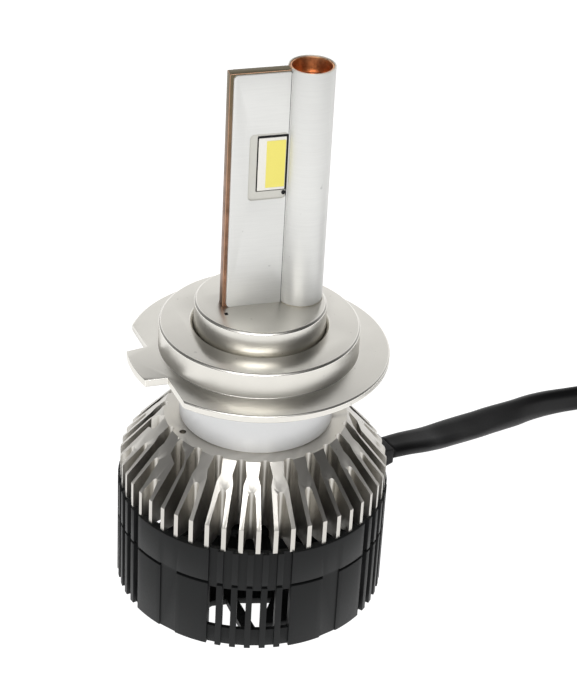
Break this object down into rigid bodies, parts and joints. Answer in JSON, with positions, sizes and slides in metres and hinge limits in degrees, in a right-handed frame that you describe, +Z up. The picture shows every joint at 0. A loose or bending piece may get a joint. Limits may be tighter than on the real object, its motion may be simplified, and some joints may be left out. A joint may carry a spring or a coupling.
{
  "type": "headlight bulb",
  "caption": "LED headlight bulb with a turning cap collar, copper-cored lamp post, forked-fin heatsink, cooling fan in a slotted shroud, and a flat lead with a two-blade plug.",
  "frame": {"origin": "centre of the shroud's base, on the surface that the bulb stands on", "axes": "+Z up along the lamp axis from the shroud to the lamp post; the flat of the post lies along X with its heat pipe on the +X side, and the collar's tab points towards -X"},
  "size_m": [0.1227, 0.0492, 0.074],
  "materials": {
    "copper": "drawn copper, slightly tarnished",
    "cover_aluminium": "satin, faintly brushed",
    "nickel": "fine bead-blasted satin with bright edges",
    "neck_aluminium": "turned and blasted",
    "sink_aluminium": "blasted, clear anodised",
    "black_plastic": "fine-grained moulding",
    "rubber_black": "smooth rubber",
    "cable_black": "satin cable sheath",
    "led_ceramic": "white ceramic",
    "led_board_white": "white reflective board",
    "phosphor_yellow": "matt yellow phosphor in silicone",
    "circuit_board": "green solder mask",
    "component_dark": "moulded component",
    "steel_bright": "plated steel",
    "bronze": "sintered bronze",
    "magnet_grey": "bonded ferrite",
    "wire_red": "wire insulation",
    "brass_blades": "tinned brass"
  },
  "bodies": {
    "bulb": {"core_plate": "copper", "cover_front": "cover_aluminium", "cover_rear": "cover_aluminium", "pipe_sleeve": "cover_aluminium", "heat_pipe": "copper", "led_board_front": "led_board_white", "led_board_rear": "led_board_white", "led_chip_front": "led_ceramic", "led_chip_rear": "led_ceramic", "phosphor_front": "phosphor_yellow", "phosphor_rear": "phosphor_yellow", "hub": "nickel", "o_ring": "rubber_black", "neck": "neck_aluminium", "heat_spreader": "copper", "heatsink": "sink_aluminium", "led_leads": "wire_red", "driver_board": "circuit_board", "driver_inductor": "component_dark", "driver_capacitors": "component_dark", "driver_chip": "component_dark", "fan_frame": "black_plastic", "frame_screws": "steel_bright", "stator_core": "steel_bright", "stator_coils": "copper", "motor_board": "circuit_board", "bearing_sleeve": "bronze", "fan_leads": "wire_red", "shroud": "black_plastic", "fan_guard": "black_plastic", "cable_gland": "rubber_black", "supply_leads": "wire_red", "cord_run": "cable_black", "cord_coil": "cable_black", "cord_tail": "cable_black", "coil_tie": "black_plastic", "plug_boot": "rubber_black", "plug_body": "black_plastic", "plug_blades": "brass_blades"},
    "fan": {"fan_rotor": "black_plastic", "rotor_magnet": "magnet_grey", "rotor_shaft": "steel_bright", "shaft_clip": "steel_bright"},
    "collar": {"collar": "nickel"}
  },
  "joints": [
    {"name": "fan_spin", "type": "hinge", "parent": "bulb", "child": "fan", "pos_m": [0, 0, 0.011], "axis": [0, 0, 1], "continuous": true},
    {"name": "collar_turn", "type": "hinge", "parent": "bulb", "child": "collar", "pos_m": [0, 0, 0.0349], "axis": [0, 0, 1], "continuous": true}
  ]
}
